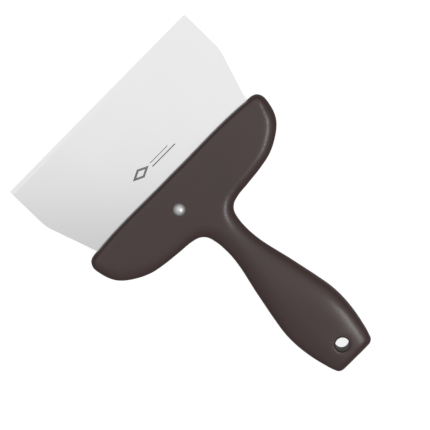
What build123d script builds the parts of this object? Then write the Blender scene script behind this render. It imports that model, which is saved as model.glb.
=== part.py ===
"""Flexible putty knife: a thin spring-steel blade held in a one-piece moulded plastic T handle.

Frame, in millimetres: the knife lies on its back on the plane Z = 0. +Y points along the handle
to the cutting edge, +X across the blade, +Z out of the front face. The origin is under the middle
of the box that holds the whole knife.
"""

import os

from build123d import *

# Driving dimensions
LENGTH = 234.0  # cutting edge to the handle's butt
BLADE_WIDTH = 160.0
BLADE_REACH = 65.7  # cutting edge to the handle's lip
BLADE_THICKNESS = 0.5
HEAD_WIDTH = 155.4
HEAD_THICKNESS = 13.0
NECK_WIDTH = 19.8
GRIP_WIDTH = 43.6
GRIP_THICKNESS = 20.5
BUTT_WIDTH = 29.0

# Blade
STRAIGHT_SIDE = 32.2  # from the cutting edge to where the sides start to taper
SIDE_CORNER_RADIUS = 27.0
BLADE_WIDTH_AT_LIP = 137.2
BEVEL_LENGTH = 3.0  # ground land on both faces at the cutting edge
EDGE_THICKNESS = 0.2
FLEX_LINE_GAP = 0.5  # the flex axis lies this far in front of the lip
SPLIT_GAP = 0.05  # between the tang and the rounded root of the free blade

# Tang, the part of the blade that is moulded into the head
TANG_DEPTH = 26.0
TANG_REAR_WIDTH = 108.0
TANG_CORNER_RADIUS = 6.0
ANCHOR_SIZE = (14.0, 6.0)  # windows that the plastic flows through
ANCHOR_PITCH = 23.0
ANCHOR_DEPTH = 9.0
ANCHOR_COUNT = 5

# Handle
LIP_STRAIGHT = 48.0  # half of the lip that is straight
LIP_END = (73.0, 67.4)  # x and reach where the lip's long curve meets the corner
WING_SIDE_REACH = 72.8  # reach at which the head is widest
NECK_REACH = 125.0  # reach at which the neck is narrowest
HEAD_EDGE_RADIUS = 5.0
BUTT_EDGE_RADIUS = 3.5

# Hanging hole
HOLE_RADIUS = 4.6
HOLE_REACH = 220.8
HOLE_EDGE_RADIUS = 1.0

# Two-piece rivet: a solid front half pressed into a tubular back half
RIVET_X = -11.4
RIVET_REACH = 85.0
RIVET_HEAD_RADIUS = 4.2
RIVET_HEAD_HEIGHT = 2.4
RIVET_BACK_HEAD_HEIGHT = 1.6
RIVET_TUBE_RADIUS = 2.2
RIVET_POST_RADIUS = 1.4
RIVET_RECESS_RADIUS = 4.7
RIVET_RECESS_DEPTH = 2.0
RIVET_TIP_GAP = 1.0

HALF_LENGTH = LENGTH / 2
BLADE_Z = HEAD_THICKNESS / 2  # the blade lies in the head's middle plane
HINGE_REACH = BLADE_REACH - FLEX_LINE_GAP

# Grip stations: reach, width, lowest and highest Z, fall of the crown at the sides, corner radius
GRIP_STATIONS = [
    (NECK_REACH, NECK_WIDTH, 0.0, HEAD_THICKNESS, 0.0, HEAD_EDGE_RADIUS),
    (NECK_REACH + 4, NECK_WIDTH, 0.02, HEAD_THICKNESS, 0.0, HEAD_EDGE_RADIUS + 0.1),
    (142.0, 23.5, 0.3, 14.4, 0.5, 5.4),
    (158.0, 30.4, 0.4, 16.9, 1.3, 6.0),
    (176.0, 38.2, 0.25, 19.3, 2.2, 6.6),
    (196.0, GRIP_WIDTH, 0.1, GRIP_THICKNESS, 2.8, 6.8),
    (210.0, 41.4, 0.3, 20.1, 2.6, 6.7),
    (222.0, 36.5, 0.9, 18.9, 2.0, 6.2),
    (LENGTH, BUTT_WIDTH, 1.9, 17.4, 1.0, 5.4),
]


def at(x, reach):
    """The point of the plan that is x from the middle line and reach behind the cutting edge."""
    return Vector(x, HALF_LENGTH - reach)


def mirrored_face(half_edges):
    """A face from the edges of its +X half, which starts and ends on the middle line."""
    other_half = [edge.mirror(Plane.YZ) for edge in half_edges]
    return make_face([*half_edges, *other_half])


def head_plan():
    """The head's outline with its wings, and the neck down to its narrowest place."""
    half_neck = NECK_WIDTH / 2
    wing_side = at(HEAD_WIDTH / 2, WING_SIDE_REACH)
    underside_outer = at(47.0, 103.0)
    underside_inner = at(19.0, 106.2)
    underside = (underside_inner - underside_outer).normalized()
    backwards = Vector(0, -1)

    lip = Line(at(0, BLADE_REACH), at(LIP_STRAIGHT, BLADE_REACH))
    lip_curve = TangentArc(lip @ 1, at(*LIP_END), tangent=Vector(1, 0))
    corner = TangentArc(lip_curve @ 1, wing_side, tangent=lip_curve % 1)
    wing = Spline(
        wing_side,
        at(75.1, 85.0),
        at(67.5, 94.0),
        at(57.2, 99.9),
        underside_outer,
        tangents=[backwards, underside],
    )
    underside_line = Line(underside_outer, underside_inner)
    neck_root = Spline(
        underside_inner,
        at(14.5, 108.1),
        at(10.9, 113.8),
        at(half_neck, NECK_REACH),
        tangents=[underside, backwards],
    )
    neck_cut = Line(neck_root @ 1, at(0, NECK_REACH))
    return mirrored_face([lip, lip_curve, corner, wing, underside_line, neck_root, neck_cut])


def head_body():
    """The flat head with its edges rounded on both faces, apart from the cut at the neck."""
    plate = extrude(head_plan(), HEAD_THICKNESS)
    neck_y = HALF_LENGTH - NECK_REACH
    rims = [
        edge
        for group in (plate.faces().sort_by(Axis.Z)[0], plate.faces().sort_by(Axis.Z)[-1])
        for edge in group.edges()
        if abs(edge.center().Y - neck_y) > 0.01
    ]
    return fillet(rims, HEAD_EDGE_RADIUS)


def crowned_section(width, height, crown, radius):
    """A rounded rectangle whose long sides are crowned: they fall by crown towards its corners."""
    x, y = width / 2, height / 2 - crown
    if crown:
        top = ThreePointArc((-x, y), (0, height / 2), (x, y))
        bottom = ThreePointArc((x, -y), (0, -height / 2), (-x, -y))
    else:
        top = Line((-x, y), (x, y))
        bottom = Line((x, -y), (-x, -y))
    section = make_face([top, Line((x, y), (x, -y)), bottom, Line((-x, -y), (-x, y))])
    return fillet(section.vertices(), radius)


def grip_body():
    """The grip, lofted from the neck's section to the butt, with the butt's rim rounded."""
    sections = []
    for reach, width, low, high, crown, radius in GRIP_STATIONS:
        middle = Vector(0, HALF_LENGTH - reach, (low + high) / 2)
        plane = Plane(origin=middle, x_dir=(1, 0, 0), z_dir=(0, -1, 0))
        sections.append(plane * crowned_section(width, high - low, crown, radius))
    grip = loft(sections)
    butt = grip.faces().sort_by(Axis.Y)[0]
    return fillet(butt.edges(), BUTT_EDGE_RADIUS)


def tang_plan():
    """The outline of the tang, which narrows towards the neck."""
    half_lip = BLADE_WIDTH_AT_LIP / 2
    rear_reach = BLADE_REACH + TANG_DEPTH
    front_reach = HINGE_REACH + BLADE_THICKNESS / 2 + SPLIT_GAP
    corners = [
        at(half_lip, front_reach),
        at(half_lip - 2, BLADE_REACH + TANG_DEPTH * 0.35),
        at(TANG_REAR_WIDTH / 2, rear_reach),
    ]
    mirror_image = [Vector(-p.X, p.Y) for p in reversed(corners)]
    plan = make_face(Polyline(*corners, *mirror_image, close=True))
    return fillet(plan.vertices().group_by(Axis.Y)[0], TANG_CORNER_RADIUS)


def rivet_hole(radius):
    """A cylinder on the rivet's axis, long enough to cut through the head."""
    place = Pos(RIVET_X, HALF_LENGTH - RIVET_REACH, HEAD_THICKNESS / 2)
    return place * Cylinder(radius, HEAD_THICKNESS * 2)


def blade_tang():
    """The moulded-in part of the blade with its anchor windows and rivet hole."""
    bottom = BLADE_Z - BLADE_THICKNESS / 2
    tang = Pos(0, 0, bottom) * extrude(tang_plan(), BLADE_THICKNESS)
    window = extrude(RectangleRounded(*ANCHOR_SIZE, ANCHOR_SIZE[1] / 2.01), BLADE_THICKNESS)
    for index in range(ANCHOR_COUNT):
        x = (index - (ANCHOR_COUNT - 1) / 2) * ANCHOR_PITCH
        place = at(x, BLADE_REACH + ANCHOR_DEPTH)
        tang -= Pos(place.X, place.Y, bottom) * window
    return tang - rivet_hole(RIVET_TUBE_RADIUS)


def blade():
    """The free part of the blade, with a ground edge and a rounded root on the flex axis."""
    half_width, half_lip = BLADE_WIDTH / 2, BLADE_WIDTH_AT_LIP / 2
    corners = [
        at(half_lip, HINGE_REACH),
        at(half_width, STRAIGHT_SIDE),
        at(half_width, 0),
    ]
    mirror_image = [Vector(-p.X, p.Y) for p in reversed(corners)]
    plan = make_face(Polyline(*corners, *mirror_image, close=True))
    side_corners = [v for v in plan.vertices() if abs(v.Y - (HALF_LENGTH - STRAIGHT_SIDE)) < 0.01]
    plan = fillet(side_corners, SIDE_CORNER_RADIUS)
    sheet = Pos(0, 0, BLADE_Z - BLADE_THICKNESS / 2) * extrude(plan, BLADE_THICKNESS)
    for side in (1, -1):
        face_z = BLADE_Z + side * BLADE_THICKNESS / 2
        edge_z = BLADE_Z + side * EDGE_THICKNESS / 2
        wedge = Polyline(
            (0, HALF_LENGTH - BEVEL_LENGTH, face_z),
            (0, HALF_LENGTH + 1, edge_z - side * 0.05),
            (0, HALF_LENGTH + 1, face_z),
            close=True,
        )
        sheet -= extrude(make_face(wedge), amount=BLADE_WIDTH, dir=(1, 0, 0), both=True)
    root = Rot(0, 90, 0) * Cylinder(BLADE_THICKNESS / 2, BLADE_WIDTH_AT_LIP)
    return sheet + Pos(0, HALF_LENGTH - HINGE_REACH, BLADE_Z) * root


def rivet_head(height, radius):
    """A low dome that stands on Z = 0, cut from a sphere."""
    sphere_radius = (radius**2 + height**2) / (2 * height)
    ball = Pos(0, 0, height - sphere_radius) * Sphere(sphere_radius)
    return split(ball, Plane.XY, keep=Keep.TOP)


def rivet_post():
    """The front half of the rivet: a domed head and a solid post."""
    length = HEAD_THICKNESS - RIVET_RECESS_DEPTH - RIVET_TIP_GAP
    post = Pos(0, 0, -length / 2) * Cylinder(RIVET_POST_RADIUS, length)
    half = rivet_head(RIVET_HEAD_HEIGHT, RIVET_HEAD_RADIUS) + post
    return Pos(RIVET_X, HALF_LENGTH - RIVET_REACH, HEAD_THICKNESS) * half


def rivet_socket():
    """The back half of the rivet: a domed head in the recess and a tube that grips the post."""
    length = HEAD_THICKNESS - RIVET_RECESS_DEPTH
    tube = Pos(0, 0, length / 2) * Cylinder(RIVET_TUBE_RADIUS, length)
    half = Rot(180, 0, 0) * rivet_head(RIVET_BACK_HEAD_HEIGHT, RIVET_HEAD_RADIUS) + tube
    half -= Pos(0, 0, length / 2) * Cylinder(RIVET_POST_RADIUS, length)
    return Pos(RIVET_X, HALF_LENGTH - RIVET_REACH, RIVET_RECESS_DEPTH) * half


def flat_centre(edge):
    """The middle of an edge's box, seen from above."""
    centre = edge.bounding_box().center()
    return Vector(centre.X, centre.Y)


def handle(tang):
    """The one-piece moulding, cut for the tang, the rivet and the hanging hole."""
    body = head_body() + grip_body()
    hole_y = HALF_LENGTH - HOLE_REACH
    body -= Pos(0, hole_y, GRIP_THICKNESS / 2) * Cylinder(HOLE_RADIUS, GRIP_THICKNESS * 2)
    hole_centre = Vector(0, hole_y)
    hole_rims = [
        edge
        for edge in body.edges().filter_by(GeomType.LINE, reverse=True)
        if (flat_centre(edge) - hole_centre).length < HOLE_RADIUS / 2
    ]
    body = fillet(hole_rims, HOLE_EDGE_RADIUS)
    recess_z = RIVET_RECESS_DEPTH / 2
    recess = Cylinder(RIVET_RECESS_RADIUS, RIVET_RECESS_DEPTH)
    body -= Pos(RIVET_X, HALF_LENGTH - RIVET_REACH, recess_z) * recess
    return body - rivet_hole(RIVET_TUBE_RADIUS) - tang


def main():
    os.makedirs("parts", exist_ok=True)
    tang = blade_tang()
    nodes = {
        "handle": handle(tang),
        "blade": blade(),
        "blade_tang": tang,
        "rivet_post": rivet_post(),
        "rivet_socket": rivet_socket(),
    }
    for name, shape in nodes.items():
        export_step(shape, f"parts/{name}.step")
        box = shape.bounding_box()
        print(f"{name}: {shape.volume:.0f} mm3, {box.size.X:.2f} x {box.size.Y:.2f} x {box.size.Z:.2f}")


main()
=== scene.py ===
"""The looks of a wide flexible putty knife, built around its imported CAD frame.

The knife's own sizes are in millimetres, as is every mesh until it is finished. Reach is the
distance behind the cutting edge, and x the distance from the middle line. What comes from the
frame, whose +Y points to the cutting edge, is in metres, and so are the camera and the studio.
"""

import math

import bmesh
import bpy
import numpy as np
from mathutils import Matrix, Vector
from mathutils.geometry import delaunay_2d_cdt


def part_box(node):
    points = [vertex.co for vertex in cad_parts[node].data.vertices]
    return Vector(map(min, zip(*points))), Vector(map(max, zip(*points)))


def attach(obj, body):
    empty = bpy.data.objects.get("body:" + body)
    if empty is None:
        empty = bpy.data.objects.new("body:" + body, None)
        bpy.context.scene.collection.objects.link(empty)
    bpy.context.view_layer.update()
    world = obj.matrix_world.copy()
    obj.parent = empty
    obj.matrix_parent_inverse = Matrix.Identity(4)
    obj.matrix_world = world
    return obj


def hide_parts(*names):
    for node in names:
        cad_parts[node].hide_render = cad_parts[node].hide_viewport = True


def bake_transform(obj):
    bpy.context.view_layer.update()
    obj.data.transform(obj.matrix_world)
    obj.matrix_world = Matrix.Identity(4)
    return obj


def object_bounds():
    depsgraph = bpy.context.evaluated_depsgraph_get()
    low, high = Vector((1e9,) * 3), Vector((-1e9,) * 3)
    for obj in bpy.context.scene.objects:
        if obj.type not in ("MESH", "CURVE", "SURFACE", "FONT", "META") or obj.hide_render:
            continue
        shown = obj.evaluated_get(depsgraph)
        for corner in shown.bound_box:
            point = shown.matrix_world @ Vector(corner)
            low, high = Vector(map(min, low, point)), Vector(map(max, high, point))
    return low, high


MM = 0.001

# The handle's outline on the +X side, as (x, reach), from the lip to the butt
HALF_OUTLINE = [
    (0.0, 65.7), (69.0, 67.0), (73.2, 67.5), (75.7, 68.7), (77.2, 70.8), (76.9, 80.1),
    (74.2, 87.3), (61.2, 98.4), (53.0, 101.9), (45.0, 103.5), (32.0, 105.0), (20.0, 106.3),
    (16.1, 107.5), (13.1, 109.9), (10.2, 118.5), (9.8, 125.0), (16.2, 162.0), (19.4, 178.0),
    (21.4, 191.0), (18.2, 222.0), (16.0, 229.6), (14.8, 232.3), (12.3, 233.8), (8.0, 234.0),
    (0.0, 234.0),
]
OUTLINE_STEP = 1.0
OUTLINE_SAMPLES = 4000  # points on the outline's curve before it is cut into even steps

# The handle's side profile: reach, lowest z, highest z
SIDE_STATIONS = [
    (65.7, 0.0, 13.0), (104.0, 0.0, 13.0), (116.0, 0.0, 13.1), (128.0, 0.1, 13.4),
    (142.0, 0.4, 14.6), (158.0, 0.5, 16.9), (176.0, 0.3, 19.3), (196.0, 0.1, 20.5),
    (210.0, 0.3, 20.1), (222.0, 0.9, 18.9), (234.0, 1.9, 17.4),
]
GRIP_START = 115.0  # the grip's width is read from the outline from here on
NECK_REACH = 125.0
BUTT_REACH = 234.0

# How far in the head's edge is rounded, by reach: little at the lip, most at the wings and neck
ROUNDING_STATIONS = [
    (65.7, 2.2), (68.5, 3.0), (80.0, 7.0), (104.0, 8.2), (116.0, 9.6), (125.0, 9.8),
]
# How full the rounding is, by reach: 2 is an ellipse, and more is nearer to a square
FULLNESS_STATIONS = [
    (65.7, 2.0), (125.0, 2.0), (150.0, 2.1), (176.0, 2.5), (200.0, 3.2), (222.0, 3.7), (234.0, 3.7),
]
BUTT_ROUNDING = 4.5
SIDE_WALL = 0.16  # share of the half thickness that is a straight wall
EDGE_BAND = 3.0  # width of the band of rings along the edge
EDGE_RINGS = 9
PARTING_RIDGE = 0.09  # the mould's parting line stands this proud
PARTING_WIDTH = 0.5

# The even triangles between the band and the holes
CAP_SPACING = 1.8
CAP_ROW_SHARE = 0.866  # rows are this share of the spacing apart
CAP_CLEARANCE = 0.6  # no inner point is nearer to a ring than this share of the spacing

# The hanging hole
HOLE_REACH = 220.8
HOLE_RADIUS = 4.6
HOLE_ROUNDING = 1.4
HOLE_SEGMENTS = 64
HOLE_RIM_RINGS = 6

# The recess in the back for the rivet's second head
RECESS_RADIUS = 4.7
RECESS_DEPTH = 2.0
RECESS_SEGMENTS = 48
RECESS_RIM = [(0.3, 0.0), (0.1, 0.1), (0.0, 0.3)]  # how far outside the radius, and how deep

# The blade
BLADE_HALF_WIDTH = 80.0
BLADE_HALF_WIDTH_AT_LIP = 68.6
STRAIGHT_SIDE = 32.2
SIDE_ROUNDING = 4.3  # how far each way the corner between straight and tapered side is rounded
BLADE_ROOT = 66.2
BLADE_END = 69.0  # the sheet's end, hidden in the head
TANG_COVER = 0.01  # the sheet is this much proud of the tang it hides
BEVEL = 3.0  # reach of the ground edge
EDGE_SHARE = 0.4  # share of the thickness that is left at the cutting edge
BEVEL_ROWS = 4
BLADE_ROWS = 110
BLADE_COLUMNS = 96
SHARP_ANGLE = math.radians(30)

# The mark is a hollow diamond, by its middle and half its size, and two lines beside it
MARK_MIDDLE = (-12.6, 51.6)
MARK_HALF_SIZE = (7.2, 3.5)
MARK_HOLLOW = 0.55  # share of the diamond that is left open
# Each line's left end, reach, length and width
MARK_LINES = [(-3.6, 50.9, 16.0, 0.45), (-4.0, 53.4, 20.6, 0.7)]
MARK_HEIGHT = 0.02  # the ink stands this proud of the steel, and reaches as far into it

# Materials
REST_MAP = "rest"  # the map of every point's place at rest
NOISE_RANGE = (0.3, 0.7)  # nearly all of a noise texture's values lie between these

# The picture: right and up on it, as directions on the floor
PICTURE_RIGHT = Vector((1, -1, 0)).normalized()
PICTURE_UP = Vector((1, 1, 0)).normalized()

# The camera
CAMERA_TARGET = Vector((0.0016, 0.0126, 0.007))
CAMERA_DISTANCE = 2.2
CAMERA_TILT = math.radians(8.8)  # its lean from straight above towards the picture's top
CAMERA_ROLL = math.radians(-0.54)
CAMERA_RANGE = (0.1, 20.0)
VIEW_WIDTH = 0.2763  # the picture's width at the target
SENSOR_WIDTH = 36.0  # in millimetres, like the lens

# The studio
FLOOR_SIZE = 30.0
FLOOR_GLOW = 0.86  # the floor's own light, which keeps it white
HORIZON_GREY = 0.22
ZENITH_GREY = 0.69
ZENITH_START = 0.9  # the sky is at its brightest where a direction's height is more than this
# The two soft lights, with their places measured from the knife's middle
OVERHEAD_HEIGHT = 0.9
OVERHEAD_UP = 0.35
OVERHEAD_SIZE = (1.2, 0.95)
OVERHEAD_BRIGHTNESS = 0.42
SIDE_LIGHT_HEIGHT = 1.0
SIDE_LIGHT_RIGHT = 0.55
SIDE_LIGHT_DOWN = 0.12
SIDE_LIGHT_SIZE = (0.16, 0.5)
SIDE_LIGHT_BRIGHTNESS = 11.0


def smooth_values(stations, at):
    """Values of each column of stations at the places in at, on curves that pass every station."""
    table = np.array(stations, dtype=float)
    places, values = table[:, 0], table[:, 1:]
    slopes = np.gradient(values, places, axis=0)
    span = np.clip(np.searchsorted(places, at) - 1, 0, len(places) - 2)
    width = (places[span + 1] - places[span])[:, None]
    u = np.clip((at - places[span])[:, None] / width, 0, 1)
    start, end = values[span], values[span + 1]
    return (
        start * (1 + 2 * u) * (1 - u) ** 2
        + end * u**2 * (3 - 2 * u)
        + slopes[span] * width * u * (1 - u) ** 2
        - slopes[span + 1] * width * u**2 * (1 - u)
    )


def closed_outline():
    """Evenly spaced points round the handle, anticlockwise from above, and their inward normals."""
    knots = np.array(HALF_OUTLINE)
    along = np.concatenate([[0], np.cumsum(np.linalg.norm(np.diff(knots, axis=0), axis=1))])
    fine = np.linspace(0, along[-1], OUTLINE_SAMPLES)
    path = smooth_values(np.column_stack([along, knots]), fine)
    length = np.concatenate([[0], np.cumsum(np.linalg.norm(np.diff(path, axis=0), axis=1))])
    count = round(length[-1] / OUTLINE_STEP)
    even = np.linspace(0, length[-1], count + 1)
    right = np.column_stack([np.interp(even, length, column) for column in path.T])
    right[[0, -1], 0] = 0
    left = right[-2:0:-1] * (-1, 1)
    loop = np.concatenate([right, left])
    loop = np.column_stack([loop[:, 0], -loop[:, 1]])[::-1]
    ahead = np.roll(loop, -1, axis=0) - np.roll(loop, 1, axis=0)
    ahead /= np.linalg.norm(ahead, axis=1)[:, None]
    inward = np.column_stack([-ahead[:, 1], ahead[:, 0]])
    return loop, inward


def edge_distance(points, loop):
    """How far each point is from the closed loop."""
    ends = np.roll(loop, -1, axis=0)
    nearest = np.full(len(points), np.inf)
    for start, end in zip(loop, ends):
        along = end - start
        share = np.clip((points - start) @ along / (along @ along), 0, 1)
        gap = np.linalg.norm(points - start - share[:, None] * along, axis=1)
        nearest = np.minimum(nearest, gap)
    return nearest


def rounded(share, fullness):
    """Height of a rounded edge, from 0 at share 0 to 1 at share 1 and beyond."""
    return (1 - (1 - np.clip(share, 0, 1)) ** fullness) ** (1 / fullness)


class HandleShape:
    """The handle's outline, and its middle height and half thickness over the plan.

    The plan has the cutting edge at y = 0, so a point's y is minus its reach.
    """

    def __init__(self):
        self.outline, self.inward = closed_outline()
        grip = self.outline[(self.outline[:, 0] > 0) & (self.outline[:, 1] < -GRIP_START)]
        grip = grip[np.argsort(-grip[:, 1])]
        self.grip_reach, self.grip_half_width = -grip[:, 1], grip[:, 0]

    def middle(self, plan):
        """Height half way between the back and the front."""
        low, high = smooth_values(SIDE_STATIONS, -plan[:, 1]).T
        return (low + high) / 2

    def half_thickness(self, plan):
        """The head is flat with rounded edges. The grip's section is oval, and its butt rounded."""
        x, reach = np.abs(plan[:, 0]), -plan[:, 1]
        low, high = smooth_values(SIDE_STATIONS, reach).T
        depth = smooth_values(ROUNDING_STATIONS, reach)[:, 0]
        head = edge_distance(plan, self.outline) / depth
        grip = 1 - x / np.interp(reach, self.grip_reach, self.grip_half_width)
        fullness = smooth_values(FULLNESS_STATIONS, reach)[:, 0]
        share = rounded(np.where(reach < NECK_REACH, head, grip), fullness)
        share *= rounded((BUTT_REACH - reach) / BUTT_ROUNDING, 2)
        half = (high - low) / 2
        return half * (SIDE_WALL + (1 - SIDE_WALL) * share)


def add_ring(builder, plan, height):
    """New vertices at the plan points, each raised to its height, in millimetres."""
    return [builder.verts.new((x, y, z)) for (x, y), z in zip(plan, height)]


def bridge(builder, first, second, material=0):
    """A band of quads between two closed rings of equal count."""
    for index, vertex in enumerate(first):
        after = (index + 1) % len(first)
        face = builder.faces.new((vertex, first[after], second[after], second[index]))
        face.material_index = material


def bridge_all(builder, rings, material=0):
    """A band of quads between each ring and the next."""
    for first, second in zip(rings, rings[1:]):
        bridge(builder, first, second, material)


def inside_loop(points, loop):
    """Which of the points lie inside the closed loop."""
    x, y = points[:, 0][:, None], points[:, 1][:, None]
    x1, y1 = loop.T
    x2, y2 = np.roll(loop, -1, axis=0).T
    spans = (y1 > y) != (y2 > y)
    with np.errstate(divide="ignore", invalid="ignore"):
        crosses = x < (x2 - x1) * (y - y1) / (y2 - y1) + x1
    return (spans & crosses).sum(axis=1) % 2 == 1


def cap_grid(loops):
    """Staggered points inside the first loop, clear of it and of the other loops."""
    low, high = loops[0].min(axis=0), loops[0].max(axis=0)
    columns = np.arange(low[0], high[0], CAP_SPACING)
    rows = np.arange(low[1], high[1], CAP_SPACING * CAP_ROW_SHARE)
    grid = np.array([
        (x + (index % 2) * CAP_SPACING / 2, y) for index, y in enumerate(rows) for x in columns
    ])
    keep = inside_loop(grid, loops[0])
    for loop in loops[1:]:
        keep &= ~inside_loop(grid, loop)
    for loop in loops:
        keep &= edge_distance(grid, loop) > CAP_SPACING * CAP_CLEARANCE
    return grid[keep]


def cap(builder, shape, side, outer, holes):
    """Closes one face of the handle between its outer ring and the rings of its holes."""
    rings = [outer, *holes]
    loops = [np.array([vertex.co.xy for vertex in ring]) for ring in rings]
    grid = cap_grid(loops)
    known = [vertex for ring in rings for vertex in ring]
    known += add_ring(builder, grid, shape.middle(grid) + side * shape.half_thickness(grid))
    edges = []
    for ring in rings:
        start = len(edges)
        edges += [(start + i, start + (i + 1) % len(ring)) for i in range(len(ring))]
    plan = [Vector(vertex.co.xy) for vertex in known]
    _, _, triangles, sources, _, _ = delaunay_2d_cdt(plan, edges, [], 1, 1e-6)
    for triangle in triangles:
        corners = [known[sources[index][0]] for index in triangle]
        centre = np.array([sum((corner.co.xy for corner in corners), Vector((0, 0))) / 3])
        if not any(inside_loop(centre, loop)[0] for loop in loops[1:]):
            builder.faces.new(corners if side > 0 else corners[::-1])


def unit_circle(count):
    """Evenly spaced points on a circle of radius 1."""
    angles = np.linspace(0, 2 * math.pi, count, endpoint=False)
    return np.column_stack([np.cos(angles), np.sin(angles)])


def hole_rings(builder, shape, centre):
    """The rings of the hanging hole, from the bottom face to the top face."""
    around = unit_circle(HOLE_SEGMENTS)
    turns = np.linspace(0, math.pi / 2, HOLE_RIM_RINGS)
    rings = []
    for side, order in ((-1, turns[::-1]), (1, turns)):
        for turn in order:
            plan = centre + around * (HOLE_RADIUS + HOLE_ROUNDING * (1 - math.cos(turn)))
            half = shape.half_thickness(plan) - HOLE_ROUNDING * (1 - math.sin(turn))
            rings.append(add_ring(builder, plan, shape.middle(plan) + side * half))
    return rings


def recess_rings(builder, centre):
    """The rings of the round recess in the back for the rivet, from the back face inwards."""
    around = unit_circle(RECESS_SEGMENTS)
    rings = []
    for outside, depth in [*RECESS_RIM, (0.0, RECESS_DEPTH)]:
        plan = centre + around * (RECESS_RADIUS + outside)
        rings.append(add_ring(builder, plan, [depth] * len(plan)))
    return rings


def finished_mesh(builder, name):
    """An object from the builder's mesh, which is in millimetres, shaded smooth."""
    bmesh.ops.recalc_face_normals(builder, faces=builder.faces)
    builder.transform(Matrix.Scale(MM, 4))
    mesh = bpy.data.meshes.new(name)
    builder.to_mesh(mesh)
    builder.free()
    mesh.shade_smooth()
    piece = bpy.data.objects.new(name, mesh)
    bpy.context.collection.objects.link(piece)
    return piece


def make_handle(edge_y, rivet_x, rivet_reach):
    """The moulded handle: a rounded edge swept round the outline, and crowned caps between."""
    builder = bmesh.new()
    shape = HandleShape()
    turns = np.linspace(math.pi / 2, 0, EDGE_RINGS)
    bands = []
    for side, order in ((-1, turns), (1, turns[::-1])):
        for turn in order:
            plan = shape.outline + shape.inward * EDGE_BAND * (1 - math.cos(turn))
            height = shape.middle(plan) + side * shape.half_thickness(plan)
            bands.append(add_ring(builder, plan, height))
    middle = shape.middle(shape.outline)
    ridge = PARTING_WIDTH / 2
    parting = [
        add_ring(builder, shape.outline, middle - ridge),
        add_ring(builder, shape.outline - shape.inward * PARTING_RIDGE, middle),
        add_ring(builder, shape.outline, middle + ridge),
    ]
    rings = bands[:EDGE_RINGS] + parting + bands[EDGE_RINGS:]
    bridge_all(builder, rings)

    hole = hole_rings(builder, shape, np.array((0.0, -HOLE_REACH)))
    # The hole's walls and rounded rims take the second material, which paints shade into the bore
    bridge_all(builder, hole, material=1)
    recess = recess_rings(builder, np.array((rivet_x, -rivet_reach)) / MM)
    bridge_all(builder, recess)
    builder.faces.new(recess[-1])
    cap(builder, shape, -1, rings[0], [hole[0], recess[0]])
    cap(builder, shape, 1, rings[-1], [hole[-1]])

    builder.transform(Matrix.Translation((0, edge_y / MM, 0)))
    return finished_mesh(builder, "handle_moulding")


def blade_half_width(reach):
    """Half the blade's width: straight sides, then a taper, with the corner between rounded."""
    taper = (BLADE_HALF_WIDTH - BLADE_HALF_WIDTH_AT_LIP) / (BLADE_ROOT - STRAIGHT_SIDE)
    past = reach - STRAIGHT_SIDE
    if past <= -SIDE_ROUNDING:
        return BLADE_HALF_WIDTH
    if past < SIDE_ROUNDING:
        return BLADE_HALF_WIDTH - taper * (past + SIDE_ROUNDING) ** 2 / (4 * SIDE_ROUNDING)
    return BLADE_HALF_WIDTH - taper * past


def blade_face(builder, side, edge_y, middle_z, thickness):
    """One face of the blade, as rows of vertices from the cutting edge to its end in the head."""
    ground_edge = np.linspace(0, BEVEL, BEVEL_ROWS + 1)[:-1]
    flat = np.linspace(BEVEL, BLADE_END, BLADE_ROWS)
    shares = np.linspace(-1, 1, BLADE_COLUMNS + 1)
    rows = []
    for reach in np.concatenate([ground_edge, flat]):
        fullness = EDGE_SHARE + (1 - EDGE_SHARE) * min(reach / BEVEL, 1)
        z = middle_z / MM + side * (thickness / MM / 2 + TANG_COVER) * fullness
        y = edge_y / MM - reach
        half_width = blade_half_width(reach)
        rows.append([builder.verts.new((share * half_width, y, z)) for share in shares])
    for row, following in zip(rows, rows[1:]):
        for index in range(BLADE_COLUMNS):
            corners = (row[index], row[index + 1], following[index + 1], following[index])
            builder.faces.new(corners)
    return rows


def rim_of(rows):
    """The vertices round the rim of a face made of rows, in order."""
    right = [row[-1] for row in rows[1:]]
    left = [row[0] for row in rows[-2:0:-1]]
    return [*rows[0], *right, *rows[-1][-2::-1], *left]


def map_rest(builder):
    """Maps every point to its place at rest, in metres, so that a look stays put when it bends."""
    rest = builder.loops.layers.uv.new(REST_MAP)
    for face in builder.faces:
        for loop in face.loops:
            loop[rest].uv = loop.vert.co.xy * MM


def make_blade(edge_y, middle_z, thickness):
    """One continuous sheet from the cutting edge into the head, ground on both faces."""
    builder = bmesh.new()
    top = blade_face(builder, 1, edge_y, middle_z, thickness)
    bottom = blade_face(builder, -1, edge_y, middle_z, thickness)
    bridge(builder, rim_of(top), rim_of(bottom))
    map_rest(builder)
    piece = finished_mesh(builder, "blade_sheet")
    piece.data.set_sharp_from_angle(angle=SHARP_ANGLE)
    return piece


def mark_outlines():
    """The diamond's outer and inner outlines, and each line's outline, as (x, reach) points."""
    middle_x, middle_reach = MARK_MIDDLE
    half_x, half_reach = MARK_HALF_SIZE
    corners = [(half_x, 0), (0, half_reach), (-half_x, 0), (0, -half_reach)]
    diamond = [
        [(middle_x + x * share, middle_reach + reach * share) for x, reach in corners]
        for share in (1, MARK_HOLLOW)
    ]
    lines = [
        [
            (left, reach),
            (left, reach + width),
            (left + length, reach + width),
            (left + length, reach),
        ]
        for left, reach, length, width in MARK_LINES
    ]
    return diamond, lines


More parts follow.
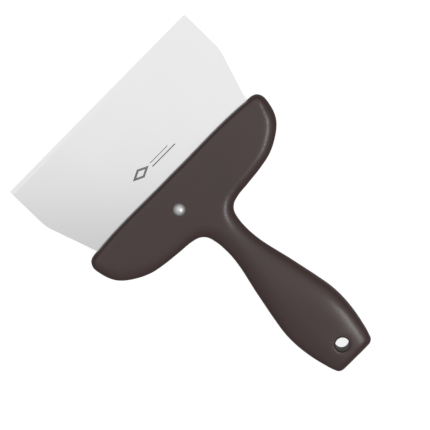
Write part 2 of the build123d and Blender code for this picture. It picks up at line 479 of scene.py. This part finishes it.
def make_mark(edge_y, steel_z):
    """A generic etched mark on the blade's front, a hollow diamond and two fine lines."""
    builder = bmesh.new()
    low, high = steel_z / MM - MARK_HEIGHT, steel_z / MM + MARK_HEIGHT

    def ring(outline, z):
        plan = [(x, edge_y / MM - reach) for x, reach in outline]
        return add_ring(builder, plan, [z] * len(plan))

    (outer, inner), lines = mark_outlines()
    around = [ring(outer, low), ring(outer, high), ring(inner, high), ring(inner, low)]
    bridge_all(builder, [*around, around[0]])
    for outline in lines:
        bottom, top = ring(outline, low), ring(outline, high)
        bridge(builder, bottom, top)
        builder.faces.new(bottom)
        builder.faces.new(top)
    map_rest(builder)
    return finished_mesh(builder, "blade_mark")


def grey(level):
    """A grey of this brightness."""
    return (level, level, level)


def node_material(name):
    """A new node material and its Principled shader."""
    material = bpy.data.materials.new(name)
    material.use_nodes = True
    return material, material.node_tree.nodes["Principled BSDF"]


def add_node(material, kind, **settings):
    """A new shader node with its properties set."""
    node = material.node_tree.nodes.new(kind)
    for name, value in settings.items():
        setattr(node, name, value)
    return node


def object_place(material):
    """Every point's place on its own object."""
    return add_node(material, "ShaderNodeTexCoord").outputs["Object"]


def rest_place(material):
    """Every point's place at rest, on a piece that map_rest has mapped."""
    return add_node(material, "ShaderNodeUVMap", uv_map=REST_MAP).outputs["UV"]


def noise(material, place, scale, detail=3.0, stretch=(1, 1, 1)):
    """A noise texture's factor over the given places, squeezed along each axis by stretch."""
    links = material.node_tree.links
    mapping = add_node(material, "ShaderNodeMapping")
    mapping.inputs["Scale"].default_value = stretch
    texture = add_node(material, "ShaderNodeTexNoise")
    texture.inputs["Scale"].default_value = scale
    texture.inputs["Detail"].default_value = detail
    links.new(place, mapping.inputs["Vector"])
    links.new(mapping.outputs["Vector"], texture.inputs["Vector"])
    return texture.outputs["Fac"]


def ramp(material, factor, low, high):
    """The usual range of a noise's factor mapped to colours from low to high."""
    node = add_node(material, "ShaderNodeValToRGB")
    first, last = node.color_ramp.elements
    first.position, last.position = NOISE_RANGE
    first.color, last.color = (*low, 1), (*high, 1)
    material.node_tree.links.new(factor, node.inputs["Fac"])
    return node.outputs["Color"]


def spread(material, factor, low, high):
    """The usual range of a noise's factor mapped to values from low to high."""
    node = add_node(material, "ShaderNodeMapRange")
    limits = {"From Min": NOISE_RANGE[0], "From Max": NOISE_RANGE[1], "To Min": low, "To Max": high}
    for name, value in limits.items():
        node.inputs[name].default_value = value
    material.node_tree.links.new(factor, node.inputs["Value"])
    return node.outputs["Result"]


def bump(material, factor, distance, strength):
    """A bump from factor, distance metres deep."""
    node = add_node(material, "ShaderNodeBump")
    node.inputs["Distance"].default_value = distance
    node.inputs["Strength"].default_value = strength
    material.node_tree.links.new(factor, node.inputs["Height"])
    return node.outputs["Normal"]


def plastic_material():
    """Satin moulded plastic with a fine spark-eroded grain and faint flow marks."""
    material, shader = node_material("handle_plastic_look")
    links = material.node_tree.links
    place = object_place(material)
    flow = noise(material, place, scale=28.0, stretch=(1, 0.4, 1))
    grain = noise(material, place, scale=2600.0, detail=2.0)
    colour = ramp(material, flow, low=(0.040, 0.0205, 0.0192), high=(0.047, 0.0245, 0.0228))
    links.new(colour, shader.inputs["Base Color"])
    links.new(spread(material, grain, low=0.27, high=0.34), shader.inputs["Roughness"])
    links.new(bump(material, grain, distance=0.00003, strength=0.5), shader.inputs["Normal"])
    return material


def bore_painted_shade_material():
    """Near-black, barely shiny plastic inside the hanging hole: painted shade on the bore's walls
    and rims.
    """
    material, shader = node_material("handle_bore_painted_shade")
    links = material.node_tree.links
    grain = noise(material, object_place(material), scale=1400.0, detail=2.0)
    # Painted shade: near black and with little shine, far darker than the handle's own plastic
    colour = ramp(material, grain, low=(0.008, 0.006, 0.006), high=(0.012, 0.009, 0.009))
    links.new(colour, shader.inputs["Base Color"])
    links.new(spread(material, grain, low=0.7, high=0.8), shader.inputs["Roughness"])
    shader.inputs["Specular IOR Level"].default_value = 0.1
    return material


def steel_material(name, brightness, roughness, bends=False):
    """Fine ground steel, with its grain across the blade. Brightness and roughness are ranges."""
    material, shader = node_material(name)
    links = material.node_tree.links
    place = rest_place(material) if bends else object_place(material)
    grain = noise(material, place, scale=600.0, detail=4.0, stretch=(1, 22, 1))
    cloud = noise(material, place, scale=22.0, detail=2.0)
    dark, light = brightness
    links.new(ramp(material, grain, grey(dark), grey(light)), shader.inputs["Base Color"])
    smooth, rough = roughness
    total = add_node(material, "ShaderNodeMath", operation="ADD")
    links.new(spread(material, grain, low=0.0, high=0.06), total.inputs[0])
    links.new(spread(material, cloud, smooth, rough), total.inputs[1])
    links.new(total.outputs["Value"], shader.inputs["Roughness"])
    links.new(bump(material, grain, distance=0.000004, strength=0.35), shader.inputs["Normal"])
    shader.inputs["Metallic"].default_value = 1.0
    return material


def mark_material():
    """Grey etched ink, a little uneven."""
    material, shader = node_material("mark_look")
    wear = noise(material, rest_place(material), scale=900.0)
    colour = ramp(material, wear, low=grey(0.16), high=grey(0.24))
    material.node_tree.links.new(colour, shader.inputs["Base Color"])
    shader.inputs["Roughness"].default_value = 0.6
    return material


def floor_material():
    """Plain pale paper with a hardly visible tooth."""
    material, shader = node_material("floor_look")
    tooth = noise(material, object_place(material), scale=40.0)
    colour = ramp(material, tooth, low=grey(0.31), high=grey(0.33))
    material.node_tree.links.new(colour, shader.inputs["Base Color"])
    shader.inputs["Roughness"].default_value = 0.9
    shader.inputs["Emission Color"].default_value = (*grey(1), 1)
    shader.inputs["Emission Strength"].default_value = FLOOR_GLOW
    return material


def use_materials(piece, *materials):
    """Gives the piece these materials in place of those it has."""
    piece.data.materials.clear()
    for material in materials:
        piece.data.materials.append(material)


def add_camera():
    """A long-lens camera that leans from straight above towards the picture's top."""
    back = Vector((0, 0, 1)) * math.cos(CAMERA_TILT) + PICTURE_UP * math.sin(CAMERA_TILT)
    data = bpy.data.cameras.new("camera")
    data.sensor_width = SENSOR_WIDTH
    data.lens = SENSOR_WIDTH * CAMERA_DISTANCE / VIEW_WIDTH
    data.clip_start, data.clip_end = CAMERA_RANGE
    camera = bpy.data.objects.new("camera", data)
    up = (PICTURE_UP - back * PICTURE_UP.dot(back)).normalized()
    right = up.cross(back)
    turn = Matrix((right, up, back)).transposed().to_4x4() @ Matrix.Rotation(CAMERA_ROLL, 4, "Z")
    camera.matrix_world = Matrix.Translation(CAMERA_TARGET + back * CAMERA_DISTANCE) @ turn
    bpy.context.collection.objects.link(camera)
    bpy.context.scene.camera = camera


def add_softbox(name, place, aim, size, brightness):
    """An oblong soft light at place, facing aim. Its length lies along the picture's right."""
    data = bpy.data.lights.new(name, "AREA")
    data.shape = "RECTANGLE"
    data.size, data.size_y = size
    data.energy = brightness * math.pi * size[0] * size[1]
    light = bpy.data.objects.new(name, data)
    light.location = place
    back = (place - aim).normalized()
    across = (PICTURE_RIGHT - back * PICTURE_RIGHT.dot(back)).normalized()
    light.rotation_euler = Matrix((across, back.cross(across), back)).transposed().to_euler()
    bpy.context.collection.objects.link(light)


def add_floor(centre):
    """A wide floor under the knife, which doesn't show in reflections."""
    bpy.ops.mesh.primitive_plane_add(size=FLOOR_SIZE, location=centre)
    floor = bpy.context.object
    floor.name = "floor"
    floor.visible_glossy = False
    use_materials(floor, floor_material())


def add_sky():
    """Pale surroundings, darker towards the horizon and below it."""
    world = bpy.data.worlds.new("studio")
    world.use_nodes = True
    nodes, links = world.node_tree.nodes, world.node_tree.links
    place = nodes.new("ShaderNodeTexCoord")
    parts = nodes.new("ShaderNodeSeparateXYZ")
    sky = nodes.new("ShaderNodeValToRGB")
    horizon, zenith = sky.color_ramp.elements
    horizon.position, zenith.position = 0.0, ZENITH_START
    horizon.color, zenith.color = (*grey(HORIZON_GREY), 1), (*grey(ZENITH_GREY), 1)
    links.new(place.outputs["Generated"], parts.inputs["Vector"])
    links.new(parts.outputs["Z"], sky.inputs["Fac"])
    links.new(sky.outputs["Color"], nodes["Background"].inputs["Color"])
    bpy.context.scene.world = world
    bpy.context.scene.view_settings.view_transform = "Standard"


def add_studio(centre):
    """The floor, the pale surroundings and the two soft lights."""
    add_floor(centre)
    add_sky()
    over = centre + Vector((0, 0, OVERHEAD_HEIGHT)) + PICTURE_UP * OVERHEAD_UP
    add_softbox("overhead", over, over - Vector((0, 0, 1)), OVERHEAD_SIZE, OVERHEAD_BRIGHTNESS)
    side = centre + PICTURE_RIGHT * SIDE_LIGHT_RIGHT - PICTURE_UP * SIDE_LIGHT_DOWN
    side += Vector((0, 0, SIDE_LIGHT_HEIGHT))
    add_softbox("side", side, centre, SIDE_LIGHT_SIZE, SIDE_LIGHT_BRIGHTNESS)


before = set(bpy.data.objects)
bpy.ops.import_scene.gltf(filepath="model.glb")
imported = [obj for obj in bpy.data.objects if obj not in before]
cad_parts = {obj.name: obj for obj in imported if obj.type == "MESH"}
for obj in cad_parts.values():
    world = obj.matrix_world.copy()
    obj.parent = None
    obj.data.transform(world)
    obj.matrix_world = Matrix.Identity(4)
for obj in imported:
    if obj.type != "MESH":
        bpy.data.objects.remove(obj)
cad_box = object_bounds()

blade_low, blade_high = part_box("blade")
edge_y = blade_high[1]
blade_z = (blade_low[2] + blade_high[2]) / 2
blade_thickness = blade_high[2] - blade_low[2]
rivet_low, rivet_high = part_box("rivet_post")
rivet_x = (rivet_low[0] + rivet_high[0]) / 2
rivet_reach = edge_y - (rivet_low[1] + rivet_high[1]) / 2

handle = make_handle(edge_y, rivet_x, rivet_reach)
# The second material paints shade into the hanging hole's bore
use_materials(handle, plastic_material(), bore_painted_shade_material())
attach(handle, "handle")
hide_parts("handle")

blade = make_blade(edge_y, blade_z, blade_thickness)
blade_look = steel_material("blade_steel_look", (0.73, 0.77), (0.14, 0.18), bends=True)
use_materials(blade, blade_look)
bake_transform(blade)
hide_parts("blade")

mark = make_mark(edge_y, blade_high[2] + TANG_COVER * MM)
use_materials(mark, mark_material())
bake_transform(mark)

tang_look = steel_material("tang_look", (0.6, 0.7), (0.3, 0.4))
use_materials(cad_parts["blade_tang"], tang_look)
rivet_look = steel_material("rivet_look", (0.62, 0.68), (0.38, 0.42))
use_materials(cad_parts["rivet_post"], rivet_look)
use_materials(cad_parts["rivet_socket"], rivet_look)

centre = (Vector(cad_box[0]) + Vector(cad_box[1])) / 2
add_studio(Vector((centre.x, centre.y, 0)))
add_camera()
